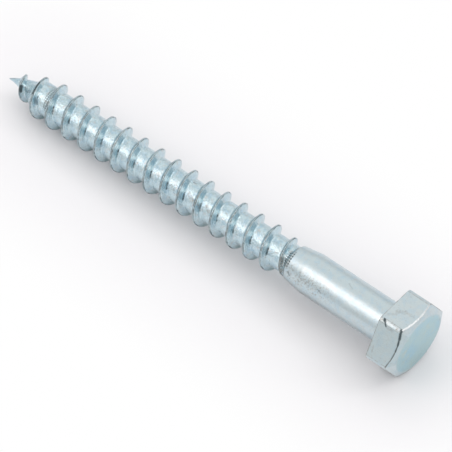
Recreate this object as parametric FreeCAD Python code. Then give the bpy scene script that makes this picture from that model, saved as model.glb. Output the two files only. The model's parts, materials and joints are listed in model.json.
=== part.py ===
import FreeCAD, Part
import math
import os

# Hex head wood screw, cold formed in one piece.  Sizes in millimetres, angles in degrees.
#
# Local frame: the axis of the screw is x, the bearing face under the head is x = 0, the head
# is on the +x side and the point is at x = -screw_length.  Angles around the axis start at
# +y and turn towards +z.  Along the thread, positions are given as the distance s from the
# point.  The finished piece is laid down as it comes to rest on a floor at Z = 0.

# Head
across_flats = 13.0
head_height = 5.0
head_edge_r = 0.6
end_flat_d = 11.5
end_slope = 31.0
end_lean = 3.9
end_lean_side = 90.0

# Plain shank, and the neck that draws in below it to a step above the thread
shank_d = 7.38
shank_length = 17.4
neck_length = 3.4
neck_share = 0.45

# Thread: right-hand, one start, with a wide root
thread_d = 7.62
pitch = 3.6
thread_angle = 60.0
core_share = 0.7
crest_width = 0.24
ridge_into_neck = 0.14
ridge_end_side = 289.0
run_out_turns = 1.35

# Point
screw_length = 83.2
point_length = 6.5
shoulder_length = 1.7
shoulder_share = 0.62
blunt_tip_d = 0.16
point_crest_r = 0.6
point_crest_length = 8.2
point_crest_curve = 1.25
bare_tip_length = 0.8
run_in_turns = 0.4
tip_bend = 0.45
tip_bend_length = 3.0
tip_bend_side = 210.0

# The curves round the axis are drawn through this many stations in a quarter turn
stations = 2

# Derived sizes
FULL = 2.0 * math.pi
QUARTER = FULL / 4.0
flat_r = across_flats / 2.0
end_flat_r = end_flat_d / 2.0
corner_r = flat_r / math.cos(FULL / 12.0)
shank_r = shank_d / 2.0
thread_r = thread_d / 2.0
core_r = core_share * thread_r
neck_r = core_r + neck_share * (thread_r - core_r)
step_length = neck_r - core_r
flank_run = math.tan(math.radians(thread_angle) / 2.0)
neck_end = shank_length + neck_length
ridge_end = screw_length - neck_end + ridge_into_neck
ridge_end_angle = math.radians(ridge_end_side)
quarters = math.floor(4.0 * (ridge_end - bare_tip_length) / pitch)
ridge_start = ridge_end - quarters * pitch / 4.0
ridge_start_angle = ridge_end_angle - quarters * QUARTER


def place(s, radius, angle):
    """Point at s from the tip, radius and angle about the axis, which bends at the tip."""
    bend = tip_bend * max(0.0, 1.0 - s / tip_bend_length) ** 2
    side = math.radians(tip_bend_side)
    y = radius * math.cos(angle) + bend * math.cos(side)
    z = radius * math.sin(angle) + bend * math.sin(side)
    return FreeCAD.Vector(s - screw_length, y, z)


def core_radius(s):
    """Radius of the core, a cylinder that ends in a steep shoulder and a slender cone."""
    tip_r = blunt_tip_d / 2.0
    shoulder_r = core_r * shoulder_share
    to_shoulder = point_length - shoulder_length
    if s < to_shoulder:
        return tip_r + (shoulder_r - tip_r) * s / to_shoulder
    return core_r - (core_r - shoulder_r) * max(0.0, point_length - s) / shoulder_length


def full_crest_radius(s):
    """Radius of the crest line, which draws in towards the point."""
    left = max(0.0, 1.0 - s / point_crest_length)
    return thread_r - (thread_r - point_crest_r) * left ** point_crest_curve


def rise(turns, length):
    """Share of its full height that the ridge has this many turns from its end."""
    return math.sin(QUARTER * min(1.0, max(0.0, turns / length)))


def ridge_section(angle):
    """The ridge at an angle: its middle, its height, and its half widths at crest and foot."""
    s = ridge_start + pitch * (angle - ridge_start_angle) / FULL
    turns_in = (angle - ridge_start_angle) / FULL
    turns_left = (ridge_end_angle - angle) / FULL
    share = rise(turns_in, run_in_turns) * rise(turns_left, run_out_turns)
    height = share * (full_crest_radius(s) - core_radius(s))
    half_crest = share * crest_width / 2.0
    return s, height, half_crest, half_crest + height * flank_run


def foot_point(angle, side):
    """Point where a flank meets the core.  The side is -1 towards the tip, 1 towards the head."""
    s, height, half_crest, half_foot = ridge_section(angle)
    s_foot = s + side * half_foot
    return place(s_foot, core_radius(s_foot), angle)


def crest_point(angle, side):
    """Point on one edge of the crest."""
    s, height, half_crest, half_foot = ridge_section(angle)
    return place(s + side * half_crest, core_radius(s) + height, angle)


def curve(point_at, first, count):
    """Smooth curve through point_at(angle), over count quarter turns from the angle first."""
    total = count * stations
    angles = [first + QUARTER * i / stations for i in range(total + 1)]
    line = Part.BSplineCurve()
    line.interpolate(Points=[point_at(a) for a in angles], Parameters=angles)
    return line


def quarter_curves(point_at, first, count):
    """The same curve, cut into its quarter turns."""
    whole = curve(point_at, first, count)
    pieces = []
    for i in range(count):
        piece = whole.copy()
        piece.segment(first + i * QUARTER, first + (i + 1) * QUARTER)
        pieces.append(piece)
    return pieces


def ruled_face(line_a, line_b):
    """Face ruled between two curves with matching stations.  One end may meet in a point."""
    surface = Part.BSplineSurface()
    surface.buildFromPolesMultsKnots(
        [line_a.getPoles(), line_b.getPoles()],
        [2, 2], line_a.getMultiplicities(),
        [0.0, 1.0], line_a.getKnots(),
        False, False, 1, line_a.Degree)
    return surface.toShape()


def strip(lines_a, lines_b):
    """Faces ruled between two runs of quarter curves, pair by pair."""
    return [ruled_face(a, b) for a, b in zip(lines_a, lines_b)]


def ring(s, radius, first):
    """Four quarter curves of a circle about the axis."""
    return quarter_curves(lambda angle: place(s, radius, angle), first, 4)


def ridge_faces():
    """Both flanks and the crest of the thread, the root between its turns, and both ends."""
    first, turn = ridge_start_angle, 4
    foot_a = quarter_curves(lambda a: foot_point(a, -1.0), first, quarters)
    foot_b = quarter_curves(lambda a: foot_point(a, 1.0), first, quarters)
    crest_a = quarter_curves(lambda a: crest_point(a, -1.0), first, quarters)
    crest_b = quarter_curves(lambda a: crest_point(a, 1.0), first, quarters)
    faces = strip(foot_a, crest_a)
    faces += strip(crest_a, crest_b)
    faces += strip(crest_b, foot_b)
    faces += strip(foot_b[:-turn], foot_a[turn:])
    faces += strip(ring(ridge_start, core_radius(ridge_start), first), foot_a[:turn])
    last = foot_b[-turn:]
    faces += strip(last, ring(ridge_end, core_r, ridge_end_angle - FULL))
    return faces


def disc(lines):
    """Flat face inside a ring of quarter curves."""
    return Part.Face(Part.Wire([line.toShape() for line in lines]))


def threaded_solid():
    """Thread, root and point, closed by a disc that lies inside the neck."""
    faces = ridge_faces()
    tip = ring(0.0, core_radius(0.0), ridge_start_angle)
    faces += strip(tip, ring(ridge_start, core_radius(ridge_start), ridge_start_angle))
    inside = ridge_end + neck_length / 2.0
    buried = ring(inside, core_r, ridge_end_angle - FULL)
    faces += strip(ring(ridge_end, core_r, ridge_end_angle - FULL), buried)
    faces += [disc(tip), disc(buried)]
    shell = Part.makeShell(faces)
    shell.sewShape()
    solid = Part.makeSolid(shell.Shells[0])
    if solid.Volume < 0.0:
        solid.reverse()
    return solid


def turned(outline):
    """Solid turned about the axis from (x, radius) corners that start and end on the axis."""
    corners = [FreeCAD.Vector(x, radius, 0.0) for x, radius in outline]
    face = Part.Face(Part.makePolygon(corners + corners[:1]))
    return face.revolve(FreeCAD.Vector(), FreeCAD.Vector(1.0, 0.0, 0.0), math.degrees(FULL))


def shank_solid():
    """Neck and plain shank.  The neck steps down to the core at its lower end."""
    buried_r = core_r / 2.0
    inner = -neck_end - step_length * (neck_r - buried_r) / (neck_r - core_r)
    into_head = head_height / 2.0
    return turned([
        (inner, 0.0),
        (inner, buried_r),
        (-neck_end, neck_r),
        (-shank_length, shank_r),
        (into_head, shank_r),
        (into_head, 0.0)])


def hex_prism():
    """Six-sided bar from the bearing face past the end, one flat down, with eased edges."""
    corners = []
    for i in range(6):
        angle = i * FULL / 6.0
        corners.append(FreeCAD.Vector(0.0, corner_r * math.cos(angle), corner_r * math.sin(angle)))
    face = Part.Face(Part.makePolygon(corners + corners[:1]))
    prism = face.extrude(FreeCAD.Vector(2.0 * head_height, 0.0, 0.0))
    along = [e for e in prism.Edges if abs(e.tangentAt(e.FirstParameter).x) > 0.5]
    return prism.makeFillet(head_edge_r, along)


def end_form():
    """Flat end with a conical chamfer, struck a little out of square: one side stands proud."""
    reach = 2.0 * corner_r
    slope = math.tan(math.radians(end_slope))
    form = turned([
        (-head_height, 0.0),
        (-head_height, reach),
        (head_height - (reach - end_flat_r) * slope, reach),
        (head_height, end_flat_r),
        (head_height, 0.0)])
    side = math.radians(end_lean_side) + QUARTER
    hinge = FreeCAD.Vector(0.0, math.cos(side), math.sin(side))
    form.rotate(FreeCAD.Vector(head_height, 0.0, 0.0), hinge, -end_lean)
    return form


def rest_tilt():
    """Slope of the axis when the head rests on its bearing edge and a crest touches the floor."""
    down = -QUARTER
    slopes = []
    for turn in range(quarters // 4):
        angle = ridge_end_angle - (ridge_end_angle - down) % FULL - turn * FULL
        s, height, half_crest, half_foot = ridge_section(angle)
        slopes.append((flat_r - core_radius(s) - height) / (screw_length - s))
    return math.atan(min(slopes))


def laid_down(shape):
    """The piece at rest on the floor, with the origin under the middle of its box."""
    tilt = math.degrees(rest_tilt())
    shape.rotate(FreeCAD.Vector(), FreeCAD.Vector(0.0, 1.0, 0.0), -tilt)
    box = shape.optimalBoundingBox(False, False)
    shape.translate(FreeCAD.Vector(-box.Center.x, -box.Center.y, -box.ZMin))
    return shape


def screw():
    """The whole piece, laid down on the floor."""
    head = hex_prism().common(end_form())
    body = head.fuse(shank_solid())
    whole = body.fuse(threaded_solid()).removeSplitter()
    return laid_down(whole.Solids[0])


os.makedirs("parts", exist_ok=True)
screw().exportStep("parts/screw.step")
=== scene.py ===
"""Looks of a hex head wood screw: its fine mesh, bright zinc finish, floor, light and camera."""

import json
import logging
import math
from dataclasses import dataclass, field
from enum import Enum
from typing import Callable

import bmesh
import bpy
from mathutils import Matrix, Quaternion, Vector, noise

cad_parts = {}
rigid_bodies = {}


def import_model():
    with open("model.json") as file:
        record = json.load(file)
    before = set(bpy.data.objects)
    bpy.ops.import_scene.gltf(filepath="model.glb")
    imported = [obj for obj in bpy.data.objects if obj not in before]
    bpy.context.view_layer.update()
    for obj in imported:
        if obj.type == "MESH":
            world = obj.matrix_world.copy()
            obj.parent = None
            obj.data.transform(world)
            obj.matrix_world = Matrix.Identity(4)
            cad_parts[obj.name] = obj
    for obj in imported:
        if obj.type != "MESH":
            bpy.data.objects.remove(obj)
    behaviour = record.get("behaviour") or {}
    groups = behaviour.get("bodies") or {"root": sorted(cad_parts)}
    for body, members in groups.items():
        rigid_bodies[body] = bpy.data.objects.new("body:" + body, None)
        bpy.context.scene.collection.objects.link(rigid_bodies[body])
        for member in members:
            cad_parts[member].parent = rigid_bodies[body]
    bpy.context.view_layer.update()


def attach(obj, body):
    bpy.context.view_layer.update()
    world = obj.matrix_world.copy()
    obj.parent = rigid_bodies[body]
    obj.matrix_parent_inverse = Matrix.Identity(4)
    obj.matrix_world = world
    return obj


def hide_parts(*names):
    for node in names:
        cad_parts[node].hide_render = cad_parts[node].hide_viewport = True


LOG = logging.getLogger("screw")
MM = 0.001
FULL = 2.0 * math.pi
QUARTER = FULL / 4.0

FLOAT, VECTOR, COLOUR = "NodeSocketFloat", "NodeSocketVector", "NodeSocketColor"

Place = Callable[[Vector], Vector]
Mesh = bmesh.types.BMesh
Socket = bpy.types.NodeSocket
Tree = bpy.types.NodeTree


def clamp(value: float, low: float = 0.0, high: float = 1.0) -> float:
    """Keep a value between two bounds."""
    return max(low, min(high, value))


def soft_max(a: float, b: float, width: float) -> float:
    """The larger of two heights, rounded where they cross.

    Args:
        a: First height.
        b: Second height.
        width: Difference below which the two blend.

    Returns:
        The blended height.
    """
    share = clamp(0.5 + 0.5 * (a - b) / width)
    return b + (a - b) * share + width * share * (1.0 - share) / 2.0


def polar(x: float, radius: float, angle: float) -> Vector:
    """Point at a distance along the screw, a radius and an angle from +y towards +z."""
    return Vector((x, radius * math.cos(angle), radius * math.sin(angle)))


def direction(azimuth: float, elevation: float) -> Vector:
    """Direction from the screw to a place seen at these angles, in degrees."""
    a, e = math.radians(azimuth), math.radians(elevation)
    return Vector((math.sin(a) * math.cos(e), -math.cos(a) * math.cos(e), math.sin(e)))


def grow(bm: Mesh, loop: list, place: Place) -> list:
    """Extrude an edge loop once and move the new vertices.

    Args:
        bm: Mesh that holds the loop.
        loop: Edges of the loop.
        place: Gives the new position from the old one.

    Returns:
        The edges of the new loop.
    """
    made = bmesh.ops.extrude_edge_only(bm, edges=loop)["geom"]
    verts = {item for item in made if isinstance(item, bmesh.types.BMVert)}
    for vert in verts:
        vert.co = place(vert.co)
    edges = [item for item in made if isinstance(item, bmesh.types.BMEdge)]
    return [edge for edge in edges if edge.verts[0] in verts and edge.verts[1] in verts]


def bevel_edges(bm: Mesh, edges: list, width: float, segments: int) -> None:
    """Round a run of edges."""
    bmesh.ops.bevel(bm, geom=edges, offset=width, offset_type="OFFSET", segments=segments,
                    profile=0.5, affect="EDGES", material=-1, clamp_overlap=True)


def rim(bm: Mesh, x: float) -> list:
    """Open edges that lie in the plane at x."""
    near = 1e-4
    return [e for e in bm.edges
            if len(e.link_faces) == 1 and all(abs(v.co.x - x) < near for v in e.verts)]


@dataclass(frozen=True)
class Lay:
    """How the screw lies: the slope of its axis and the place of its bearing face, in mm."""

    tilt: float = math.radians(2.05824)
    bearing: Vector = field(default_factory=lambda: Vector((38.97977, 0.0, 6.49581)))

    def matrix(self) -> Matrix:
        """Matrix from the screw's own frame, in millimetres, to the scene, in metres."""
        turn = Matrix.Rotation(-self.tilt, 4, "Y")
        return Matrix.Scale(MM, 4) @ Matrix.Translation(self.bearing) @ turn


@dataclass
class Thread:
    """Thread, root and point.  Distances s run from the point towards the head, in mm."""

    length: float = 83.2
    diameter: float = 7.62
    pitch: float = 3.6
    core_share: float = 0.7
    half_crest: float = 0.12
    flank_run: float = math.tan(math.radians(30.0))
    ridge_start: float = 0.89
    ridge_end: float = 62.54
    end_angle: float = math.radians(289.0)
    run_in: float = 0.4
    run_out: float = 1.35
    point_length: float = 6.5
    shoulder_length: float = 1.7
    shoulder_share: float = 0.62
    tip_radius: float = 0.08
    crest_taper: float = 8.2
    crest_taper_radius: float = 0.6
    crest_taper_curve: float = 1.25
    tip_bend: float = 0.45
    tip_bend_length: float = 3.0
    tip_bend_side: float = math.radians(210.0)
    step_edge: float = 62.4
    step_radius: float = 3.18
    step_round: float = 0.3
    foot_round: float = 0.16
    foot_round_from: float = 4.0
    fold_depth: float = 0.05
    fold_half: float = 0.1
    fold_least: float = 0.7
    fold_change: float = 0.6
    fold_scale: float = 2.3
    wander: float = 0.025
    wander_scale: float = 1.1
    uneven: float = 0.02
    uneven_scale: float = 1.7
    segments: int = 144
    columns: tuple = (0.0, 0.05, 0.1, 0.16, 0.26, 0.4, 0.54, 0.66, 0.76, 0.9, 1.2, 1.5)

    @property
    def crest(self) -> float:
        """Full radius of the crest."""
        return self.diameter / 2.0

    @property
    def core(self) -> float:
        """Radius of the root."""
        return self.crest * self.core_share

    def core_radius(self, s: float) -> float:
        """Radius of the core, which ends in a steep shoulder and a slender cone."""
        shoulder = self.core * self.shoulder_share
        to_shoulder = self.point_length - self.shoulder_length
        if s < to_shoulder:
            return self.tip_radius + (shoulder - self.tip_radius) * max(0.0, s) / to_shoulder
        left = max(0.0, self.point_length - s) / self.shoulder_length
        return self.core - (self.core - shoulder) * left

    def crest_radius(self, s: float) -> float:
        """Radius of the full crest, which draws in towards the point."""
        left = max(0.0, 1.0 - s / self.crest_taper)
        return self.crest - (self.crest - self.crest_taper_radius) * left ** self.crest_taper_curve

    def ridge(self, s: float, angle: float) -> tuple[float, float]:
        """Where a place lies on the thread's ridge.

        Args:
            s: Distance from the point.
            angle: Angle around the axis.

        Returns:
            The distance along the axis from the ridge's middle, and the ridge's height there.
        """
        turns = (self.end_angle - angle) / FULL
        off = s - self.ridge_end + self.pitch * turns
        across = off - self.pitch * round(off / self.pitch)
        middle = s - across
        turns_in = (middle - self.ridge_start) / self.pitch / self.run_in
        turns_left = (self.ridge_end - middle) / self.pitch / self.run_out
        share = math.sin(QUARTER * clamp(turns_in)) * math.sin(QUARTER * clamp(turns_left))
        return across, share * (self.crest_radius(middle) - self.core_radius(middle))

    def radius(self, s: float, angle: float) -> float:
        """Radius of the threaded surface at a place.

        The crest is a little uneven and has a fold along its middle, and the foot is rounded.

        Args:
            s: Distance from the point.
            angle: Angle around the axis.

        Returns:
            The radius, with the step under the neck.
        """
        across, height = self.ridge(s, angle)
        on_helix = polar(s - across, self.crest, angle)
        across += self.wander * noise.noise(on_helix * self.wander_scale)
        top = self.core_radius(s - across) + height
        depth = self.fold_least + self.fold_change * noise.noise(on_helix * self.fold_scale)
        fold = self.fold_depth * depth * max(0.0, 1.0 - (across / self.fold_half) ** 2)
        uneven = self.uneven * (1.0 + noise.noise(on_helix * self.uneven_scale))
        top -= min(height, fold + uneven)
        flank = top - max(0.0, abs(across) - self.half_crest) / self.flank_run
        width = self.foot_round * clamp(s / self.foot_round_from, 0.1)
        surface = soft_max(flank, self.core_radius(s), width)
        step = self.step_radius - (self.step_edge - s)
        return soft_max(surface, step, self.step_round)

    def place(self, s: float, radius: float, angle: float) -> Vector:
        """Point on the thread.  The tip is bent a little to one side."""
        bend = self.tip_bend * max(0.0, 1.0 - s / self.tip_bend_length) ** 2
        return polar(s - self.length, radius, angle) + polar(0.0, bend, self.tip_bend_side)

    def sweep(self, bm: Mesh) -> None:
        """Sweep one pitch of the profile along the screw line and join its turns."""
        offsets = [-c for c in reversed(self.columns[1:])] + list(self.columns)
        offsets.append(self.pitch + offsets[0])
        turns = math.ceil(self.step_edge / self.pitch) + 2
        shift = self.end_angle / FULL * self.pitch
        first = self.ridge_end - shift - (turns - 2) * self.pitch
        verts = [bm.verts.new((first + o - self.length, self.crest, 0.0)) for o in offsets]
        edges = [bm.edges.new(pair) for pair in zip(verts, verts[1:])]
        bmesh.ops.spin(bm, geom=verts + edges, axis=(1.0, 0.0, 0.0), cent=(0.0, 0.0, 0.0),
                       dvec=(self.pitch / self.segments, 0.0, 0.0), angle=FULL,
                       steps=self.segments)
        one_turn = bm.verts[:] + bm.edges[:] + bm.faces[:]
        for turn in range(1, turns):
            made = bmesh.ops.duplicate(bm, geom=one_turn)["geom"]
            copied = [item for item in made if isinstance(item, bmesh.types.BMVert)]
            bmesh.ops.translate(bm, vec=(turn * self.pitch, 0.0, 0.0), verts=copied)
        bmesh.ops.remove_doubles(bm, verts=bm.verts, dist=1e-3)

    def cut(self, bm: Mesh, s: float, keep: bool, side: float = 1.0) -> None:
        """Cut the mesh at s, and drop what lies beyond unless both sides are kept."""
        geom = bm.verts[:] + bm.edges[:] + bm.faces[:]
        bmesh.ops.bisect_plane(bm, geom=geom, dist=1e-5, plane_co=(s - self.length, 0.0, 0.0),
                               plane_no=(side, 0.0, 0.0), clear_outer=not keep)

    def build(self, bm: Mesh) -> list:
        """Build the thread from its tip to the edge of the step under the neck.

        Args:
            bm: Empty mesh to build in.

        Returns:
            The open edge loop at the step.
        """
        self.sweep(bm)
        self.cut(bm, 0.0, False, -1.0)
        self.cut(bm, self.step_edge - (self.step_radius - self.core), True)
        self.cut(bm, self.step_edge, False)
        end = rim(bm, self.step_edge - self.length)
        tip = rim(bm, -self.length)
        for vert in bm.verts:
            s, angle = vert.co.x + self.length, math.atan2(vert.co.z, vert.co.y)
            vert.co = self.place(s, self.radius(s, angle), angle)
        bmesh.ops.edgeloop_fill(bm, edges=tip)
        return end


@dataclass
class Shank:
    """Plain shank, with the neck that draws in towards the thread, in mm."""

    diameter: float = 7.38
    length: float = 17.4
    neck_length: float = 3.4
    neck_radius: float = 3.18
    root_round: float = 0.25
    neck_rows: int = 17
    rows: int = 44
    round_rows: int = 4

    def build(self, bm: Mesh, loop: list) -> list:
        """Carry the thread's loop along the neck and the shank to the bearing face.

        Args:
            bm: Mesh that holds the thread.
            loop: Open edge loop at the step under the neck.

        Returns:
            The open edge loop in the bearing face.
        """
        radius = self.diameter / 2.0
        for row in range(1, self.neck_rows + 1):
            share = row / self.neck_rows
            x = -self.length - self.neck_length * (1.0 - share)
            r = self.neck_radius + (radius - self.neck_radius) * share
            loop = self.ring(bm, loop, x, r)
        straight = self.length - self.root_round
        for row in range(1, self.rows + 1):
            loop = self.ring(bm, loop, -self.length + straight * row / self.rows, radius)
        for row in range(1, self.round_rows + 1):
            turn = QUARTER * row / self.round_rows
            x = -self.root_round * (1.0 - math.sin(turn))
            loop = self.ring(bm, loop, x, radius + self.root_round * (1.0 - math.cos(turn)))
        return loop

    def ring(self, bm: Mesh, loop: list, x: float, radius: float) -> list:
        """Extrude a loop to a ring of the given radius at x."""
        return grow(bm, loop, lambda co: polar(x, radius, math.atan2(co.z, co.y)))


@dataclass
class Head:
    """Hexagon head with a flat, chamfered end that is struck a little out of square, in mm."""

    across_flats: float = 13.0
    height: float = 5.0
    corner_round: float = 0.8
    corner_profile: float = 0.38
    end_flat: float = 11.5
    slope: float = math.radians(31.0)
    lean: float = math.radians(3.9)
    lean_side: float = math.radians(90.0)
    edge_round: float = 0.16
    edge_segments: int = 3
    side_cuts: int = 30
    corner_segments: int = 6
    side_rows: int = 30
    chamfer_rows: int = 4
    end_rows: int = 12

    def end_frame(self) -> Matrix:
        """Matrix that leans the end form about the middle of the flat end."""
        middle = Vector((self.height, 0.0, 0.0))
        hinge = polar(0.0, 1.0, self.lean_side + QUARTER)
        lean = Matrix.Rotation(-self.lean, 4, hinge)
        return Matrix.Translation(middle) @ lean @ Matrix.Translation(-middle)

    def end_height(self, radius: float) -> float:
        """Height of the upright end form at a radius: flat, then falling away."""
        return self.height - max(0.0, radius - self.end_flat / 2.0) * math.tan(self.slope)

    def top_of(self, co: Vector) -> Vector:
        """The place where a line along the axis through co meets the end form."""
        back = self.end_frame().inverted()
        point = Vector((self.height, co.y, co.z))
        for _ in range(8):
            local = back @ point
            point.x += self.end_height(math.hypot(local.y, local.z)) - local.x
        return point

    def outline(self, bm: Mesh) -> list:
        """Rounded hexagon in the plane of the bearing face.

        Args:
            bm: Mesh to build in.

        Returns:
            The edges of the outline.
        """
        corner = self.across_flats / 2.0 / math.cos(FULL / 12.0)
        turn = Matrix(((0, 0, 1, 0), (0, 1, 0, 0), (-1, 0, 0, 0), (0, 0, 0, 1)))
        made = bmesh.ops.create_circle(bm, cap_ends=True, segments=6, radius=corner, matrix=turn)
        face = made["verts"][0].link_faces[0]
        offset = self.corner_round * math.tan(FULL / 12.0)
        bmesh.ops.bevel(bm, geom=list(face.verts), offset=offset, offset_type="OFFSET",
                        segments=self.corner_segments, profile=self.corner_profile,
                        affect="VERTICES", material=-1)
        face = max((f for f in bm.faces if all(abs(v.co.x) < 1e-6 for v in f.verts)),
                   key=lambda f: f.calc_area())
        sides = [e for e in face.edges if e.calc_length() > self.corner_round]
        bmesh.ops.subdivide_edges(bm, edges=sides, cuts=self.side_cuts)
        edges = list(face.edges)
        bmesh.ops.delete(bm, geom=[face], context="FACES_ONLY")
        return edges

    def build(self, bm: Mesh, inner: list) -> None:
        """Build the head and join it to the shank in the bearing face.

        Args:
            bm: Mesh that holds the shank.
            inner: Open edge loop of the shank in the bearing face.
        """
        bearing = self.outline(bm)
        loop = bearing
        for row in range(1, self.side_rows + 1):
            share = row / self.side_rows
            loop = grow(bm, loop, lambda co: self.on_side(co, share))
        arcs = loop
        lean = self.end_frame()
        back = lean.inverted()
        for row in range(self.chamfer_rows, 0, -1):
            loop = grow(bm, loop, lambda co: lean @ self.towards_flat(back @ co, row))
        flat = loop
        for row in range(self.end_rows - 1, 0, -1):
            loop = grow(bm, loop, lambda co: lean @ self.inwards(back @ co, row))
        bmesh.ops.edgeloop_fill(bm, edges=loop)
        bmesh.ops.bridge_loops(bm, edges=inner + bearing)
        for edges in (bearing, arcs, flat):
            bevel_edges(bm, edges, self.edge_round, self.edge_segments)

    def on_side(self, co: Vector, share: float) -> Vector:
        """Place on a side face, at a share of the way from the bearing face to the chamfer."""
        top = self.top_of(co)
        return Vector((top.x * share, co.y, co.z))

    def towards_flat(self, local: Vector, rows_left: int) -> Vector:
        """Next place on the chamfer, in the frame of the end form."""
        radius = math.hypot(local.y, local.z)
        flat = self.end_flat / 2.0
        nearer = radius + (flat - radius) / rows_left
        return polar(self.end_height(nearer), nearer, math.atan2(local.z, local.y))

    def inwards(self, local: Vector, rows_left: int) -> Vector:
        """Next place on the flat end, nearer the middle."""
        nearer = self.end_flat / 2.0 * rows_left / self.end_rows
        return polar(self.height, nearer, math.atan2(local.z, local.y))


@dataclass
class Screw:
    """The whole screw in one closed mesh."""

    thread: Thread = field(default_factory=Thread)
    shank: Shank = field(default_factory=Shank)
    head: Head = field(default_factory=Head)
    lay: Lay = field(default_factory=Lay)
    sharp_angle: float = math.radians(50.0)
    full_edge: float = math.radians(25.0)
    end_normal: float = math.radians(12.0)

    def build(self) -> bpy.types.Object:
        """Build the mesh and lay it on the floor.

        Returns:
            The screw's object, at the origin, with its place in its mesh.
        """
        bm = bmesh.new()
        loop = self.thread.build(bm)
        loop = self.shank.build(bm, loop)
        self.head.build(bm, loop)
        bmesh.ops.recalc_face_normals(bm, faces=bm.faces)
        for face in bm.faces:
            face.material_index = self.region(face).value
        self.mark_edges(bm)
        bmesh.ops.transform(bm, matrix=self.lay.matrix(), verts=bm.verts)
        for face in bm.faces:
            face.smooth = True
        mesh = bpy.data.meshes.new("screw_body")
        bm.to_mesh(mesh)
        open_edges = sum(1 for e in bm.edges if len(e.link_faces) != 2)
        LOG.info("screw_body: %d faces, %d open edges, volume %.1f mm3", len(bm.faces),
                 open_edges, bm.calc_volume() / MM ** 3)
        bm.free()
        mesh.set_sharp_from_angle(angle=self.sharp_angle)
        piece = bpy.data.objects.new("screw_body", mesh)
        bpy.context.scene.collection.objects.link(piece)
        return piece

    def region(self, face: bmesh.types.BMFace) -> "Region":
        """The part of the screw that a face is on."""
        centre = face.calc_center_median()
        if centre.x < self.thread.step_edge - self.thread.length:
            return Region.THREAD
        if centre.x < 0.0:
            return Region.SHANK
        flat = abs(face.normal.x) > math.cos(self.end_normal) and centre.x > self.head.height / 2.0
        return Region.END if flat else Region.HEAD

    def mark_edges(self, bm: Mesh) -> None:
        """Keep in an attribute how sharply the surface turns outwards at each vertex."""
        layer = bm.verts.layers.float.new("edge")
        for edge in bm.edges:
            if len(edge.link_faces) == 2:
                turn = clamp(edge.calc_face_angle_signed() / self.full_edge)
                for vert in edge.verts:
                    vert[layer] = max(vert[layer], turn)


@dataclass(frozen=True)
class Camera:
    """Camera at the photograph's place, in millimetres and degrees."""

    azimuth: float = 40.059
    elevation: float = 53.060
    roll: float = 0.554
    distance: float = 885.537
    target: tuple = (3.8930, -0.7772, 4.1688)
    lens: float = 429.35

    def build(self) -> None:
        """Create the camera and make it the scene's camera."""
        back = direction(self.azimuth, self.elevation)
        data = bpy.data.cameras.new("camera")
        data.lens = self.lens
        data.clip_start, data.clip_end = 0.05, 20.0
        camera = bpy.data.objects.new("camera", data)
        camera.rotation_mode = "QUATERNION"
        camera.location = (Vector(self.target) + back * self.distance) * MM
        level = (-back).to_track_quat("-Z", "Y")
        camera.rotation_quaternion = level @ Quaternion((0.0, 0.0, 1.0), math.radians(self.roll))
        bpy.context.scene.collection.objects.link(camera)
        bpy.context.scene.camera = camera


@dataclass(frozen=True)
class Span:
    """A stretch of values, and how softly it begins and ends."""

    low: float
    high: float
    soft: float


@dataclass(frozen=True)
class Patches:
    """Cloudy patches: how fine and rough their clouds are, and where their edges lie."""

    scale: float
    detail: float
    rough: float
    low: float
    high: float


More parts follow.
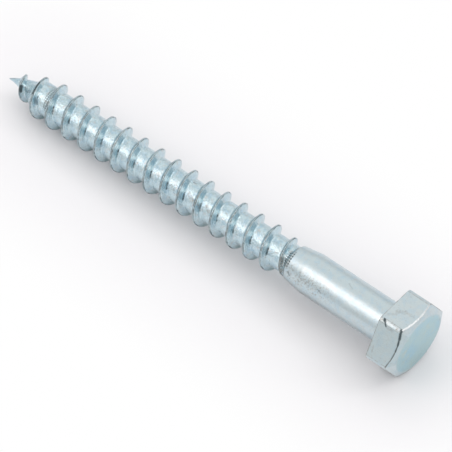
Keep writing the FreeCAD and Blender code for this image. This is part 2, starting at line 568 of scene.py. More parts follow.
class Net:
    """Short ways to place and join the nodes of one node tree."""

    def __init__(self, tree: Tree) -> None:
        """Work in the given tree."""
        self.tree = tree

    def add(self, kind: str, **settings: object) -> bpy.types.Node:
        """Place a node and set its properties."""
        node = self.tree.nodes.new(kind)
        for name, value in settings.items():
            setattr(node, name, value)
        return node

    def feed(self, socket: Socket, value: object) -> None:
        """Link a socket's value, or set it where the value is plain."""
        if isinstance(value, Socket):
            self.tree.links.new(value, socket)
        else:
            socket.default_value = value

    def math(self, operation: str, first: object, second: object = 0.0,
             limit: bool = False) -> Socket:
        """Result of one sum on numbers."""
        node = self.add("ShaderNodeMath", operation=operation, use_clamp=limit)
        self.feed(node.inputs[0], first)
        self.feed(node.inputs[1], second)
        return node.outputs[0]

    def times(self, first: object, *others: object) -> Socket:
        """Product of numbers."""
        for other in others:
            first = self.math("MULTIPLY", first, other)
        return first

    def most(self, first: object, *others: object) -> Socket:
        """Largest of some numbers."""
        for other in others:
            first = self.math("MAXIMUM", first, other)
        return first

    def vector(self, operation: str, first: object, second: object) -> bpy.types.Node:
        """Node of one sum on vectors."""
        node = self.add("ShaderNodeVectorMath", operation=operation)
        self.feed(node.inputs[0], first)
        self.feed(node.inputs[1], second)
        return node

    def length(self, vector: object) -> Socket:
        """Length of a vector."""
        node = self.add("ShaderNodeVectorMath", operation="LENGTH")
        self.feed(node.inputs[0], vector)
        return node.outputs["Value"]

    def scaled(self, vector: object, factor: object) -> Socket:
        """A vector times a number."""
        node = self.add("ShaderNodeVectorMath", operation="SCALE")
        self.feed(node.inputs[0], vector)
        self.feed(node.inputs["Scale"], factor)
        return node.outputs[0]

    def band(self, value: object, low: object, high: object) -> Socket:
        """Go smoothly from 0 at low to 1 at high."""
        node = self.add("ShaderNodeMapRange", interpolation_type="SMOOTHSTEP")
        self.feed(node.inputs["Value"], value)
        self.feed(node.inputs["From Min"], low)
        self.feed(node.inputs["From Max"], high)
        return node.outputs[0]

    def window(self, value: object, span: Span) -> Socket:
        """1 inside a span and 0 outside it."""
        opens = self.band(value, span.low - span.soft, span.low + span.soft)
        closes = self.band(value, span.high + span.soft, span.high - span.soft)
        return self.times(opens, closes)

    def mix(self, share: object, first: object, second: object) -> Socket:
        """Colour between two colours."""
        node = self.add("ShaderNodeMix", data_type="RGBA")
        self.feed(node.inputs[0], share)
        self.feed(node.inputs[6], first)
        self.feed(node.inputs[7], second)
        return node.outputs[2]

    def between(self, share: object, first: object, second: object) -> Socket:
        """Number between two numbers."""
        node = self.add("ShaderNodeMix", data_type="FLOAT")
        self.feed(node.inputs[0], share)
        self.feed(node.inputs[2], first)
        self.feed(node.inputs[3], second)
        return node.outputs[0]

    def clouds(self, place: object, scale: object, detail: float, rough: float) -> bpy.types.Node:
        """Node of a cloudy noise."""
        node = self.add("ShaderNodeTexNoise")
        self.feed(node.inputs["Vector"], place)
        self.feed(node.inputs["Scale"], scale)
        node.inputs["Detail"].default_value = detail
        node.inputs["Roughness"].default_value = rough
        return node

    def noise(self, place: object, scale: object, detail: float, rough: float) -> Socket:
        """Cloudy value about one half."""
        return self.clouds(place, scale, detail, rough).outputs["Fac"]

    def patches(self, place: object, patches: Patches) -> Socket:
        """1 in some patches and 0 between them."""
        cloud = self.noise(place, patches.scale, patches.detail, patches.rough)
        return self.band(cloud, patches.low, patches.high)

    def drift(self, place: object, scale: float, reach: float) -> Socket:
        """A place moved about by clouds, by no more than half the reach each way."""
        moved = self.clouds(place, scale, 3.0, 0.5).outputs["Color"]
        moved = self.vector("SUBTRACT", moved, (0.5, 0.5, 0.5)).outputs[0]
        return self.vector("ADD", place, self.scaled(moved, reach)).outputs[0]

    def split(self, vector: object) -> list:
        """The three numbers of a vector."""
        node = self.add("ShaderNodeSeparateXYZ")
        self.feed(node.inputs[0], vector)
        return list(node.outputs)

    def join(self, x: object, y: object, z: object) -> Socket:
        """A vector of three numbers."""
        node = self.add("ShaderNodeCombineXYZ")
        for socket, value in zip(node.inputs, (x, y, z)):
            self.feed(socket, value)
        return node.outputs[0]

    def use(self, group: Tree, **values: object) -> bpy.types.Node:
        """Place a group with its own values."""
        node = self.add("ShaderNodeGroup")
        node.node_tree = group
        for name, value in values.items():
            self.feed(node.inputs[name.replace("_", " ")], value)
        return node


class Group:
    """A shader node group with named inputs and outputs."""

    def __init__(self, name: str, takes: dict, gives: dict) -> None:
        """Make the group's tree and its sockets.

        Args:
            name: Name of the group.
            takes: Input names with their kind and default.
            gives: Output names with their kind.
        """
        self.tree = bpy.data.node_groups.new(name, "ShaderNodeTree")
        for label, (kind, default) in takes.items():
            socket = self.tree.interface.new_socket(label, in_out="INPUT", socket_type=kind)
            if default is not None:
                socket.default_value = default
        for label, kind in gives.items():
            self.tree.interface.new_socket(label, in_out="OUTPUT", socket_type=kind)
        self.net = Net(self.tree)
        self.inputs = self.net.add("NodeGroupInput").outputs
        self.outputs = self.net.add("NodeGroupOutput").inputs

    def give(self, **values: object) -> Tree:
        """Join the group's results to its outputs."""
        for name, value in values.items():
            self.net.feed(self.outputs[name.replace("_", " ")], value)
        return self.tree


def helix_group(thread: Thread) -> Tree:
    """Group that turns a place on the screw into places along and across its thread.

    Args:
        thread: Sizes of the thread.

    Returns:
        The group, in millimetres from the point and in degrees from +y.
    """
    group = Group("places_on_helix", {"Position": (VECTOR, None)},
                  {"Along": FLOAT, "Degrees": FLOAT, "Across": FLOAT, "Radius": FLOAT,
                   "Flow": VECTOR})
    net = group.net
    x, y, z = net.split(group.inputs["Position"])
    turned = net.math("ARCTAN2", net.times(y, -1.0), z)
    angle = net.math("ADD", turned, QUARTER)
    turns = net.math("DIVIDE", angle, FULL)
    phase = thread.end_angle / FULL - thread.ridge_end / thread.pitch
    count = net.math("SUBTRACT", net.math("DIVIDE", x, thread.pitch), turns)
    count = net.math("ADD", count, phase)
    off = net.math("SUBTRACT", count, net.math("ROUND", count))
    radius = net.length(net.join(0.0, y, z))
    flow = net.join(net.times(count, thread.pitch), net.times(angle, thread.crest), radius)
    return group.give(Along=x, Degrees=net.times(turns, 360.0), Radius=radius, Flow=flow,
                      Across=net.times(off, thread.pitch))


def streak_group() -> Tree:
    """Group that gives a soft mark along the line between two places."""
    group = Group("streak", {"Position": (VECTOR, None), "Start": (VECTOR, None),
                             "End": (VECTOR, None), "Width": (FLOAT, 0.2)}, {"Mask": FLOAT})
    net, inputs = group.net, group.inputs
    line = net.vector("SUBTRACT", inputs["End"], inputs["Start"]).outputs[0]
    away = net.vector("SUBTRACT", inputs["Position"], inputs["Start"]).outputs[0]
    along = net.vector("DOT_PRODUCT", away, line).outputs["Value"]
    whole = net.vector("DOT_PRODUCT", line, line).outputs["Value"]
    share = net.math("DIVIDE", along, net.most(whole, 1e-6), limit=True)
    gap = net.vector("SUBTRACT", away, net.scaled(line, share)).outputs[0]
    fades = net.band(net.length(gap), net.times(inputs["Width"], 0.35), inputs["Width"])
    return group.give(Mask=net.math("SUBTRACT", 1.0, fades))


def mottle_group() -> Tree:
    """Group that clouds a tint with cooler and warmer patches and fine specks."""
    group = Group("zinc_mottle", {"Position": (VECTOR, None),
                                  "Tint": (COLOUR, (0.6, 0.7, 0.75, 1.0)),
                                  "Cool": (COLOUR, (0.5, 0.66, 0.76, 1.0)),
                                  "Warm": (COLOUR, (0.62, 0.64, 0.62, 1.0)),
                                  "Patch size": (FLOAT, 1.0), "Strength": (FLOAT, 0.5)},
                  {"Colour": COLOUR, "Cloud": FLOAT, "Specks": FLOAT})
    net, inputs = group.net, group.inputs
    position = inputs["Position"]
    scale = net.math("DIVIDE", 1.0, inputs["Patch size"])
    cloud = net.noise(position, net.times(scale, 0.6), 4.0, 0.6)
    elsewhere = net.vector("ADD", position, (31.0, 7.0, 3.0)).outputs[0]
    other = net.noise(elsewhere, scale, 5.0, 0.65)
    cool = net.times(net.band(cloud, 0.42, 0.68), inputs["Strength"])
    warm = net.times(net.band(other, 0.5, 0.72), inputs["Strength"])
    colour = net.mix(cool, inputs["Tint"], inputs["Cool"])
    colour = net.mix(warm, colour, inputs["Warm"])
    specks = net.band(net.noise(position, 5.5, 3.0, 0.7), 0.58, 0.72)
    return group.give(Colour=colour, Cloud=cloud, Specks=specks)


class Region(Enum):
    """Parts of the screw that have their own finish."""

    THREAD = 0
    SHANK = 1
    HEAD = 2
    END = 3


@dataclass(frozen=True)
class Mark:
    """A mark along a line between two places in the screw's own frame, in millimetres."""

    start: tuple
    end: tuple
    width: float
    strength: float = 1.0


@dataclass(frozen=True)
class Groups:
    """The shader groups that the finishes share."""

    helix: Tree
    streak: Tree
    mottle: Tree


@dataclass(frozen=True)
class Canvas:
    """What a finish is drawn on: a material's nodes and the places on the screw."""

    net: Net
    groups: Groups
    position: Socket
    helix: bpy.types.Node


@dataclass(frozen=True)
class ZincFinish:
    """Bright zinc over formed steel.  Sizes are in millimetres and angles in degrees."""

    name: str = "bright_zinc"
    tint: tuple = (0.57, 0.69, 0.74, 1.0)
    cool: tuple = (0.46, 0.63, 0.74, 1.0)
    warm: tuple = (0.62, 0.63, 0.62, 1.0)
    dark: tuple = (0.10, 0.13, 0.14, 1.0)
    brown: tuple = (0.28, 0.26, 0.23, 1.0)
    # Colour of the painted highlights
    pale: tuple = (0.94, 0.97, 0.98, 1.0)
    # Colour of the painted shade, also used for the darker grain on the thread
    shade: tuple = (0.27, 0.41, 0.42, 1.0)
    patch: float = 1.2
    mottle: float = 0.5
    gloss: float = 0.12
    dull: float = 0.28
    stained: float = 0.6
    edge_stain: float = 0.5
    speck_stain: float = 0.35
    bump: float = 0.12
    grain: float = 0.17
    grain_scale: float = 4.0
    swell: float = 0.25
    sunk: float = 0.4
    ragged: float = 0.28
    pit_step: float = 0.42
    pit_radius: float = 2.9
    hatch: Span = Span(61.5, 62.85, 0.12)
    hatch_side: Span = Span(93.0, 148.0, 8.6)
    worn_edge: tuple = (0.36, 0.7)
    worn_patches: Patches = Patches(1.7, 3.0, 0.6, 0.30, 0.55)
    brown_patches: Patches = Patches(3.5, 4.0, 0.7, 0.42, 0.58)
    mark_patches: Patches = Patches(2.6, 3.0, 0.6, 0.2, 0.45)
    lay: Lay = field(default_factory=Lay)
    thread: Thread = field(default_factory=Thread)
    marks: tuple = ()
    # Marks along which a highlight is painted
    painted_highlights: tuple = ()
    browned: tuple = ()

    def build(self, groups: Groups) -> bpy.types.Material:
        """Build the material.

        Args:
            groups: Shader groups that the finishes share.

        Returns:
            The finished material.
        """
        material = bpy.data.materials.new(self.name)
        material.use_nodes = True
        net = Net(material.node_tree)
        position = self.position(net)
        canvas = Canvas(net, groups, position, net.use(groups.helix, Position=position))
        mottle = net.use(groups.mottle, Position=position, Tint=self.tint, Cool=self.cool,
                         Warm=self.warm, Patch_size=self.patch, Strength=self.mottle).outputs
        stains_and_shade = self.stains_and_shade(canvas)
        rough = net.between(mottle["Cloud"], self.gloss, self.dull)
        bump = net.add("ShaderNodeBump")
        bump.inputs["Strength"].default_value = 1.0
        bump.inputs["Distance"].default_value = self.bump * MM
        net.feed(bump.inputs["Height"], self.relief(canvas, stains_and_shade))
        shader = material.node_tree.nodes["Principled BSDF"]
        shader.inputs["Metallic"].default_value = 1.0
        net.feed(shader.inputs["Base Color"], self.colour(canvas, mottle, stains_and_shade))
        net.feed(shader.inputs["Roughness"], net.between(stains_and_shade, rough, self.stained))
        net.feed(shader.inputs["Normal"], bump.outputs["Normal"])
        return material

    def position(self, net: Net) -> Socket:
        """Place in the screw's own frame, in millimetres from the point."""
        tip = self.lay.matrix() @ Vector((-self.thread.length, 0.0, 0.0))
        mapping = net.add("ShaderNodeMapping", vector_type="TEXTURE")
        mapping.inputs["Location"].default_value = tip
        mapping.inputs["Rotation"].default_value = (0.0, -self.lay.tilt, 0.0)
        mapping.inputs["Scale"].default_value = (MM, MM, MM)
        net.feed(mapping.inputs["Vector"], net.add("ShaderNodeTexCoord").outputs["Object"])
        return mapping.outputs[0]

    def colour(self, canvas: Canvas, mottle: bpy.types.NodeOutputs, stains_and_shade: Socket) -> Socket:
        """The mottled zinc with its tones, under its tarnish, the dark marks and the painted
        highlights; some tones and dark marks are painted shade.

        Args:
            canvas: The nodes to work in.
            mottle: Outputs of the mottle group.
            stains_and_shade: Mask of the dark places.

        Returns:
            The colour.
        """
        net = canvas.net
        specks = net.times(mottle["Specks"], self.speck_stain)
        browned = net.most(specks, self.worn(canvas), self.tarnish(canvas))
        colour = net.mix(browned, self.tones(canvas, mottle["Colour"]), self.brown)
        # Dark marks in a near black: stains, and painted shade in grooves and corners
        colour = net.mix(stains_and_shade, colour, self.dark)
        # Painted highlights: a pale colour where light glints off an edge
        if self.painted_highlights:
            colour = net.mix(self.drawn(canvas, self.painted_highlights), colour, self.pale)
        return colour

    def tones(self, canvas: Canvas, colour: Socket) -> Socket:
        """The zinc's colour with its broad changes of tone."""
        return colour

    def worn(self, canvas: Canvas) -> Socket:
        """Mask of the brownish wear on outer edges, in patches."""
        net = canvas.net
        edge = net.add("ShaderNodeAttribute", attribute_name="edge").outputs["Fac"]
        patchy = net.patches(canvas.position, self.worn_patches)
        return net.times(net.band(edge, *self.worn_edge), patchy, self.edge_stain)

    def tarnish(self, canvas: Canvas) -> Socket | float:
        """Mask of the brownish places."""
        if not self.browned:
            return 0.0
        net = canvas.net
        grain = net.patches(canvas.position, self.brown_patches)
        return net.times(self.drawn(canvas, self.browned), net.between(grain, 0.25, 1.0))

    def drawn(self, canvas: Canvas, marks: tuple) -> Socket:
        """Mask of a few marks together, with ragged edges and broken up a little."""
        net = canvas.net
        broken = net.patches(canvas.position, self.mark_patches)
        place = net.drift(canvas.position, 1.8, self.ragged)
        masks = []
        for mark in marks:
            streak = net.use(canvas.groups.streak, Position=place, Width=mark.width,
                             Start=self.from_point(mark.start), End=self.from_point(mark.end))
            masks.append(net.times(streak.outputs["Mask"], mark.strength))
        return net.times(net.most(*masks), broken)

    def from_point(self, place: tuple) -> tuple:
        """A place in the screw's own frame, counted from the point."""
        x, y, z = place
        return x + self.thread.length, y, z

    def stains_and_shade(self, canvas: Canvas) -> Socket:
        """Mask of the dark places drawn as marks; some are stains, some painted shade."""
        return self.drawn(canvas, self.marks)

    def pits(self, canvas: Canvas) -> Socket:
        """Rows of small pits, as rolling dies leave them."""
        net, out = canvas.net, canvas.helix.outputs
        waves = FULL / self.pit_step
        rows = net.math("SINE", net.times(out["Along"], waves))
        round_axis = math.radians(1.0) * self.pit_radius
        columns = net.math("SINE", net.times(out["Degrees"], round_axis * waves))
        return net.band(net.math("ADD", rows, columns), -0.3, 0.9)

    def hatched(self, canvas: Canvas) -> Socket:
        """Where pits lie below the neck, on the side that faces up."""
        net, out = canvas.net, canvas.helix.outputs
        return net.times(net.window(out["Along"], self.hatch),
                         net.window(out["Degrees"], self.hatch_side))

    def relief(self, canvas: Canvas, stains_and_shade: Socket) -> Socket:
        """Height of the fine surface, as shares of the bump distance."""
        net = canvas.net
        grain = net.times(net.noise(canvas.position, self.grain_scale, 4.0, 0.6), self.grain)
        swell = net.times(net.noise(canvas.position, 0.8, 2.0, 0.5), self.swell)
        height = net.math("ADD", grain, swell)
        return net.math("SUBTRACT", height, net.times(stains_and_shade, self.sunk))


@dataclass(frozen=True)
class ThreadFinish(ZincFinish):
    """Zinc on the rolled thread: lines along the crest and tones that follow the helix."""

    name: str = "zinc_thread"
    tint: tuple = (0.625, 0.77, 0.82, 1.0)
    # Colours of the painted bright reflection and the painted dark reflection on the flanks
    lit: tuple = (0.86, 0.98, 1.0, 1.0)
    flank: tuple = (0.25, 0.42, 0.50, 1.0)
    mottle: float = 0.8
    patch: float = 0.7
    speck_stain: float = 0.6
    bump: float = 0.22
    grain: float = 0.42
    grain_scale: float = 2.4
    gloss: float = 0.2
    dull: float = 0.31
    lines: float = 0.22
    crest_line: float = 0.13
    line_wave: float = 0.12
    end: float = 62.35
    # Painted shade in the corner at the foot of the flank that faces the head
    foot: Span = Span(0.64, 0.78, 0.05)
    foot_shade_side: Span = Span(127.0, 155.0, 3.4)
    flank_width: Span = Span(0.2, 0.66, 0.06)
    # Angles of the painted reflections on the flanks and of the painted shade below
    shaded_upper_side: Span = Span(87.0, 112.0, 2.9)
    lit_side: Span = Span(117.0, 129.0, 4.6)
    shaded_lower_side: Span = Span(132.0, 152.0, 6.9)
    under_side: Span = Span(222.0, 280.0, 14.3)
    under_width: Span = Span(0.2, 1.1, 0.1)
    fading: Span = Span(60.7, 61.9, 0.15)
    fading_side: Span = Span(125.0, 190.0, 8.6)
    fading_width: Span = Span(-0.35, 0.5, 0.1)
    fold_width: Span = Span(-0.13, 0.13, 0.04)
    fold_side: Span = Span(100.0, 175.0, 11.5)
    rolled_turns: tuple = ((Span(8.3, 10.2, 0.4), Span(-1.5, -0.6, 0.2), 0.75),
                           (Span(12.2, 14.2, 0.6), Span(-0.9, -0.3, 0.15), 0.5))
    rolled_side: Span = Span(45.0, 158.0, 11.5)
    line_patches: Patches = Patches(1.3, 4.0, 0.7, 0.40, 0.58)
    grain_patches: Patches = Patches(2.7, 4.0, 0.8, 0.47, 0.60)
    ridge_patches: Patches = Patches(3.4, 4.0, 0.75, 0.36, 0.52)
    fold_patches: Patches = Patches(1.9, 3.0, 0.7, 0.42, 0.56)
    foot_shade_share: float = 0.9
    grain_share: float = 0.25
    flank_shade_share: float = 0.45
    under_shade_share: float = 0.8
    lit_share: float = 0.75
    ridge_share: float = 0.8
    fold_share: float = 0.6

    def stains_and_shade(self, canvas: Canvas) -> Socket:
        """Dark lines on the crest, painted shade at the flank's foot, pits and the drawn marks."""
        net, out = canvas.net, canvas.helix.outputs
        wave = net.math("SUBTRACT", net.noise(out["Flow"], 0.9, 3.0, 0.6), 0.5)
        across = net.math("ADD", out["Across"], net.times(wave, self.line_wave))
        broken = net.patches(out["Flow"], self.line_patches)
        tipside = net.times(self.line(net, across, -self.crest_line),
                            net.between(broken, 0.75, 1.0))
        headside = net.times(self.line(net, across, self.crest_line), broken, 0.85)
        crest = net.times(net.most(tipside, headside), net.band(out["Along"], 0.9, 1.5))
        # Painted shade in the corner at the flank's foot, over a band of angles
        foot = net.times(net.window(across, self.foot), net.window(out["Degrees"], self.foot_shade_side),
                         net.band(broken, -0.4, 1.0), self.foot_shade_share)
        below_neck = net.band(out["Along"], self.end + 0.1, self.end - 0.1)
        pitted = net.most(self.hatched(canvas), self.rolled(canvas))
        return net.most(net.times(net.most(crest, foot), below_neck),
                        net.times(self.pits(canvas), pitted), self.drawn(canvas, self.marks))

    def line(self, net: Net, across: Socket, at: float) -> Socket:
        """Mask of a thin line along the helix."""
        gap = net.math("ABSOLUTE", net.math("SUBTRACT", across, at))
        return net.math("SUBTRACT", 1.0, net.band(gap, 0.02, 0.09))

    def tones(self, canvas: Canvas, colour: Socket) -> Socket:
        """Grain all over, with painted reflection and shade: darker flanks on either side of a
        painted bright band, and a painted darker under side.
        """
        net, out = canvas.net, canvas.helix.outputs
        degrees = out["Degrees"]
        grain = net.patches(out["Flow"], self.grain_patches)
        flank = net.times(net.window(out["Across"], self.flank_width),
                          net.band(out["Along"], self.end, self.end - 1.5))
        flank_shade = net.most(net.window(degrees, self.shaded_upper_side), net.window(degrees, self.shaded_lower_side))
        under = net.times(net.window(degrees, self.under_side),
                          net.window(out["Across"], self.under_width))
        colour = net.mix(net.times(grain, self.grain_share), colour, self.shade)
        # Painted dark reflection on the flanks, above and below their bright band
        colour = net.mix(net.times(flank_shade, flank, self.flank_shade_share), colour, self.flank)
        # Painted shade on the under side of the ridges, where they face the shadowed floor
        colour = net.mix(net.times(under, self.under_shade_share), colour, self.shade)
        # Painted bright reflection on the flanks
        lit = net.times(net.window(degrees, self.lit_side), flank, self.lit_share)
        return net.mix(lit, colour, self.lit)

    def tarnish(self, canvas: Canvas) -> Socket:
        """The fading end of the ridge and the fold between the crest lines are brownish."""
        net, out = canvas.net, canvas.helix.outputs
        ridge = net.times(net.window(out["Along"], self.fading),
                          net.window(out["Degrees"], self.fading_side),
                          net.window(out["Across"], self.fading_width),
                          net.patches(canvas.position, self.ridge_patches), self.ridge_share)
        fold = net.times(net.window(out["Across"], self.fold_width),
                         net.window(out["Degrees"], self.fold_side),
                         net.band(out["Along"], self.end, self.end - 0.3),
                         net.patches(out["Flow"], self.fold_patches), self.fold_share)
        return net.most(ridge, fold, super().tarnish(canvas))

    def rolled(self, canvas: Canvas) -> Socket:
        """Where the rolling dies left pits beside the first full turns."""
        net, out = canvas.net, canvas.helix.outputs
        turns = [net.times(net.window(out["Along"], along), net.window(out["Across"], across),
                           strength) for along, across, strength in self.rolled_turns]
        return net.times(net.most(*turns), net.window(out["Degrees"], self.rolled_side))

    def relief(self, canvas: Canvas, stains_and_shade: Socket) -> Socket:
        """Fine lines along the helix over the plain zinc surface."""
        net = canvas.net
        flow = canvas.helix.outputs["Flow"]
        stretched = net.vector("MULTIPLY", flow, (5.0, 0.35, 3.0)).outputs[0]
        lines = net.times(net.noise(stretched, 1.0, 3.0, 0.6), self.lines)
        return net.math("ADD", super().relief(canvas, stains_and_shade), lines)


@dataclass(frozen=True)
class ShankFinish(ZincFinish):
    """Zinc on the plain shank, with brownish specks and a browner tone on its lower side."""

    name: str = "zinc_shank"
    tint: tuple = (0.59, 0.685, 0.71, 1.0)
    mottle: float = 0.45
    patch: float = 0.7
    gloss: float = 0.26
    dull: float = 0.40
    speck_stain: float = 0.4
    speck_patches: Patches = Patches(3.0, 4.0, 0.8, 0.51, 0.60)
    speckled_side: Span = Span(128.0, 176.0, 14.3)
    under_side: Span = Span(186.0, 225.0, 11.5)

    def stains_and_shade(self, canvas: Canvas) -> Socket:
        """The drawn marks, and the pits that run on to the neck."""
        pits = canvas.net.times(self.pits(canvas), self.hatched(canvas))
        return canvas.net.most(pits, self.drawn(canvas, self.marks))

    def tarnish(self, canvas: Canvas) -> Socket:
        """Brownish specks on the lower side, most of all by the neck, and a browner under side."""
        net, out = canvas.net, canvas.helix.outputs
        specks = net.times(net.patches(canvas.position, self.speck_patches),
                           net.window(out["Degrees"], self.speckled_side),
                           net.between(net.band(out["Along"], 74.0, 68.0), 0.14, 0.62))
        under = net.times(net.window(out["Degrees"], self.under_side),
                          net.between(net.band(out["Along"], 77.0, 66.0), 0.2, 0.5))
        return net.most(specks, under)


@dataclass(frozen=True)
class HeadFinish(ZincFinish):
    """Zinc on the head's sides, chamfer and bearing face."""

    name: str = "zinc_head"
    tint: tuple = (0.61, 0.69, 0.71, 1.0)
    mottle: float = 0.35
    patch: float = 0.7
    gloss: float = 0.3
    dull: float = 0.42
    edge_stain: float = 0.85
    speck_stain: float = 0.5
    bump: float = 0.24
    grain: float = 0.3
    grain_scale: float = 2.8
    shaded_lower_side: Span = Span(121.0, 179.0, 1.1)
    lower_shade_share: float = 0.2

    def tones(self, canvas: Canvas, colour: Socket) -> Socket:
        """Painted shade: a little darker on the side that looks down to the front."""
        net = canvas.net
        lower = net.window(canvas.helix.outputs["Degrees"], self.shaded_lower_side)
        return net.mix(net.times(lower, self.lower_shade_share), colour, self.shade)


@dataclass(frozen=True)
class EndFinish(HeadFinish):
    """Zinc on the flat end, cooler and in broad patches."""

    name: str = "zinc_end"
    tint: tuple = (0.48, 0.65, 0.68, 1.0)
    cool: tuple = (0.42, 0.63, 0.73, 1.0)
    warm: tuple = (0.54, 0.64, 0.61, 1.0)
    rim: tuple = (0.60, 0.68, 0.70, 1.0)
    rim_radii: tuple = (5.2, 5.75)
    rim_share: float = 0.8
    patch: float = 2.6
    mottle: float = 0.8

    def tones(self, canvas: Canvas, colour: Socket) -> Socket:
        """Paler towards the rim."""
        near = canvas.net.band(canvas.helix.outputs["Radius"], *self.rim_radii)
        return canvas.net.mix(canvas.net.times(near, self.rim_share), colour, self.rim)


@dataclass(frozen=True)
class Lamp:
    """Soft panel: where it stands from the screw, in degrees and metres, its level and colour."""

    name: str
    azimuth: float
    elevation: float
    distance: float
    width: float
    height: float
    radiance: float
    mirrored: bool = True
    colour: tuple = (1.0, 1.0, 1.0)

    def build(self) -> None:
        """Create the lamp, turned to the screw.  One that isn't mirrored shows in no gloss."""
        away = direction(self.azimuth, self.elevation)
        data = bpy.data.lights.new(self.name, "AREA")
        data.shape = "RECTANGLE"
        data.size, data.size_y = self.width, self.height
        data.energy = self.radiance * math.pi * self.width * self.height
        data.color = self.colour
        lamp = bpy.data.objects.new(self.name, data)
        lamp.location = away * self.distance
        lamp.visible_glossy = self.mirrored
        lamp.rotation_mode = "QUATERNION"
        lamp.rotation_quaternion = (-away).to_track_quat("-Z", "Y")
        bpy.context.scene.collection.objects.link(lamp)


@dataclass(frozen=True)
class Studio:
    """Pale floor, soft lamps and pale surroundings.  Sizes are in millimetres."""

    floor_colour: tuple = (0.775, 0.775, 0.79, 1.0)
    floor_rough: float = 0.9
    floor_gloss: float = 0.1
    floor_half: float = 2000.0
    sky: tuple = ((0.0, 0.55), (0.25, 0.78), (0.62, 1.0), (0.86, 0.90), (1.0, 0.88))
    screw_half: float = 40.0
    fade_width: float = 30.0
    lamps: tuple = (
        Lamp("key", -42.0, 50.0, 1.2, 0.7, 0.7, 1.3, True, (1.0, 0.83, 0.79)),
        Lamp("back", 172.0, 72.0, 1.3, 2.4, 1.2, 0.65, False),
        Lamp("side", 133.0, 45.0, 1.3, 0.35, 0.35, 3.0),
    )

    def build(self, streak: Tree) -> None:
        """Create floor, lamps and world."""
        self.floor(streak)
        for lamp in self.lamps:
            lamp.build()
        self.world()

    def fade(self, net: Net, shader: bpy.types.Node, streak: Tree) -> None:
        """Let the floor go to white away from the screw, for the camera's rays only.

        Args:
            net: The floor material's nodes.
            shader: The floor's own shader.
            streak: Group that masks a band along a line.
        """
        half = self.screw_half * MM
        place = net.add("ShaderNodeTexCoord").outputs["Object"]
        by_screw = net.use(streak, Position=place, Start=(-half, 0.0, 0.0),
                           End=(half, 0.0, 0.0), Width=self.fade_width * MM)
        away = net.math("SUBTRACT", 1.0, by_screw.outputs["Mask"])
        seen = net.add("ShaderNodeLightPath").outputs["Is Camera Ray"]
        mixed = net.add("ShaderNodeMixShader")
        net.feed(mixed.inputs[0], net.times(away, seen))
        net.feed(mixed.inputs[1], shader.outputs[0])
        net.feed(mixed.inputs[2], net.add("ShaderNodeEmission").outputs[0])
        net.feed(net.tree.nodes["Material Output"].inputs["Surface"], mixed.outputs[0])

    def floor(self, streak: Tree) -> None:
        """Pale floor that keeps the screw's shadow."""
        bm = bmesh.new()
        bmesh.ops.create_grid(bm, x_segments=1, y_segments=1, size=self.floor_half * MM)
        mesh = bpy.data.meshes.new("floor")
        bm.to_mesh(mesh)
        bm.free()
        floor = bpy.data.objects.new("floor", mesh)
        bpy.context.scene.collection.objects.link(floor)
        material = bpy.data.materials.new("floor_paper")
        material.use_nodes = True
        shader = material.node_tree.nodes["Principled BSDF"]
        shader.inputs["Base Color"].default_value = self.floor_colour
        shader.inputs["Roughness"].default_value = self.floor_rough
        shader.inputs["Specular IOR Level"].default_value = self.floor_gloss
        self.fade(Net(material.node_tree), shader, streak)
        mesh.materials.append(material)

    def world(self) -> None:
        """Pale surroundings, lightest half way up."""
        world = bpy.data.worlds.new("studio")
        world.use_nodes = True
        net = Net(world.node_tree)
        ramp = net.add("ShaderNodeValToRGB")
        while len(ramp.color_ramp.elements) < len(self.sky):
            ramp.color_ramp.elements.new(1.0)
        for stop, (place, level) in zip(ramp.color_ramp.elements, self.sky):
            stop.position = place
            stop.color = (level, level, level, 1.0)
        height = net.split(net.add("ShaderNodeTexCoord").outputs["Generated"])[2]
        net.feed(ramp.inputs[0], height)
        net.feed(world.node_tree.nodes["Background"].inputs["Color"], ramp.outputs["Color"])
        bpy.context.scene.world = world


def marks_around(thread: Thread, rows: tuple) -> tuple:
    """Marks on the round parts of the screw.

    Args:
        thread: Thread, which gives the places.
        rows: Two places, a width and a strength each.  A place is the distance from the
            point, the radius and the angle in degrees.

    Returns:
        The marks.
    """
    marks = []
    for ends, width, strength in rows:
        start, end = (tuple(thread.place(s, r, math.radians(a))) for s, r, a in ends)
        marks.append(Mark(start, end, width, strength))
    return tuple(marks)


def thread_marks(thread: Thread) -> tuple:
    """Dark flaws by the point, on single turns and below the neck."""
    return marks_around(thread, (
        (((6.44, 3.38, 90.0), (6.62, 3.40, 110.0)), 0.42, 1.0),
        (((6.62, 3.40, 110.0), (6.78, 3.43, 128.0)), 0.38, 1.0),
        (((13.5, 3.1, 168.0), (13.8, 3.25, 172.0)), 0.30, 0.9),
        (((58.2, 2.67, 152.0), (60.0, 2.67, 124.0)), 0.15, 0.32),
        (((39.9, 2.67, 76.0), (40.5, 2.67, 74.0)), 0.16, 0.5),
        (((51.4, 2.67, 50.0), (51.9, 2.67, 46.0)), 0.22, 0.4),
        (((3.5, 1.9, 138.0), (4.1, 2.2, 160.0)), 0.55, 1.0),
        (((4.4, 1.9, 134.0), (4.9, 2.2, 154.0)), 0.34, 0.95),
        (((7.5, 2.9, 140.0), (8.0, 2.8, 156.0)), 0.35, 0.5),
        (((0.0, 0.1, 60.0), (1.2, 0.45, 60.0)), 0.20, 0.6)))


def thread_stains(thread: Thread) -> tuple:
    """Brownish places in the root, by single turns."""
    return marks_around(thread, (
        (((40.8, 2.67, 124.0), (41.8, 2.67, 136.0)), 0.50, 0.7),
        (((44.6, 2.67, 126.0), (45.5, 2.67, 138.0)), 0.45, 0.6),
        (((43.4, 3.40, 130.0), (43.7, 3.10, 142.0)), 0.35, 0.7),
        (((37.2, 2.67, 132.0), (38.0, 2.67, 142.0)), 0.35, 0.4),
        (((10.0, 2.67, 120.0), (9.6, 2.67, 150.0)), 0.40, 0.4)))


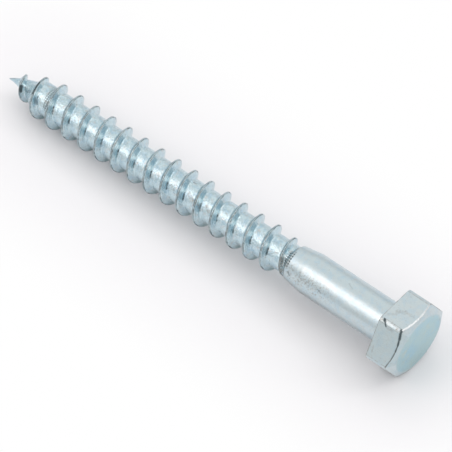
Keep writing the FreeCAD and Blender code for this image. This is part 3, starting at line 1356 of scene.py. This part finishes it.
def shank_marks(thread: Thread) -> tuple:
    """Small flaws on the neck and the plain shank."""
    return marks_around(thread, (
        (((63.3, 3.3, 156.0), (63.7, 3.3, 162.0)), 0.28, 0.55),
        (((65.7, 3.5, 156.0), (65.9, 3.5, 161.0)), 0.25, 0.45),
        (((65.3, 3.5, 117.0), (65.4, 3.5, 122.0)), 0.16, 0.4),
        (((69.6, 3.69, 147.0), (70.4, 3.69, 150.0)), 0.16, 0.35),
        (((73.6, 3.69, 88.0), (74.7, 3.69, 96.0)), 0.14, 0.18)))


def chamfer_line(head: Head, side: float, steps: tuple, widths: tuple, strengths: tuple) -> tuple:
    """Marks along the edge between one side of the head and its chamfer.

    Args:
        head: Sizes of the head.
        side: Where the side faces, in degrees.
        steps: Ends of the marks, counted along the side from its middle.
        widths: Width of each mark.
        strengths: Strength of each mark.

    Returns:
        The marks.
    """
    angle = math.radians(side)
    middle = polar(0.0, head.across_flats / 2.0, angle)
    run = polar(0.0, 1.0, angle + QUARTER)
    tops = [tuple(head.top_of(middle + run * step)) for step in steps]
    return tuple(Mark(*row) for row in zip(tops, tops[1:], widths, strengths))


def head_marks(head: Head) -> tuple:
    """Dents at both ends of the nearest corner, and painted shade of the groove along the chamfer
    edge over the lower side.
    """
    return (
        Mark((0.75, -3.45, 6.45), (0.90, -3.60, 6.40), 0.30, 1.0),
        Mark((0.90, -3.60, 6.40), (1.63, -4.12, 5.87), 0.19, 0.9),
        Mark((4.3, -3.5, 6.5), (4.55, -3.75, 6.4), 0.35, 1.0),
        # Painted shade in the groove along the lower chamfer edge, fading along it
        *chamfer_line(head, 150.0, (-3.55, -2.4, -1.2, 0.0, 1.6, 3.4),
                      (0.36, 0.25, 0.20, 0.17, 0.16), (1.0, 1.0, 0.85, 0.62, 0.45)))


def head_highlights(head: Head) -> tuple:
    """Painted highlight along the chamfer edge over the upper side."""
    return chamfer_line(head, 90.0, (-3.5, -2.3, -1.2, 0.0, 1.2, 2.3, 3.4),
                        (0.24,) * 6, (0.5, 0.55, 0.65, 0.8, 0.9, 0.95))


def head_stains() -> tuple:
    """A brownish scratch on the upper side, and stains on the nearest corner and lower side."""
    return (
        Mark((1.5, -0.9, 6.5), (2.5, -0.3, 6.5), 0.55, 0.38),
        Mark((2.42, -0.21, 6.5), (4.15, -0.21, 6.5), 0.32, 0.30),
        Mark((0.5, -2.4, 6.5), (1.6, -1.6, 6.5), 0.4, 0.22),
        Mark((0.2, -5.87, 2.83), (0.0, -7.35, 0.27), 0.2, 0.5),
        Mark((3.5, -3.75, 6.4), (4.3, -3.75, 6.4), 0.4, 0.7),
        Mark((0.0, -3.65, 6.4), (1.1, -3.65, 6.4), 0.4, 0.65),
        Mark((2.2, -3.3, 6.5), (2.9, -3.45, 6.45), 0.3, 0.7),
        Mark((1.8, -4.15, 5.8), (3.1, -4.15, 5.8), 0.28, 0.55),
        Mark((0.76, -6.24, 2.19), (0.88, -6.79, 1.23), 0.16, 0.5))


def end_marks() -> tuple:
    """A nick at the upper rim of the flat end."""
    return (Mark((4.85, 5.6, 2.0), (4.95, 5.2, 1.2), 0.25, 0.55),)


def main() -> None:
    """Build camera, screw, studio and finishes in order."""
    logging.basicConfig(level=logging.INFO)
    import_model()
    Camera().build()
    screw = Screw()
    thread, head = screw.thread, screw.head
    body = screw.build()
    groups = Groups(helix_group(thread), streak_group(), mottle_group())
    Studio().build(groups.streak)
    finishes = {
        Region.THREAD: ThreadFinish(marks=thread_marks(thread), browned=thread_stains(thread)),
        Region.SHANK: ShankFinish(marks=shank_marks(thread)),
        Region.HEAD: HeadFinish(marks=head_marks(head), painted_highlights=head_highlights(head),
                                browned=head_stains()),
        Region.END: EndFinish(marks=end_marks()),
    }
    for region in Region:
        body.data.materials.append(finishes[region].build(groups))
    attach(body, "root")
    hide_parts("screw")
    bpy.context.scene.view_settings.view_transform = "Standard"


if __name__ == "__main__":
    main()
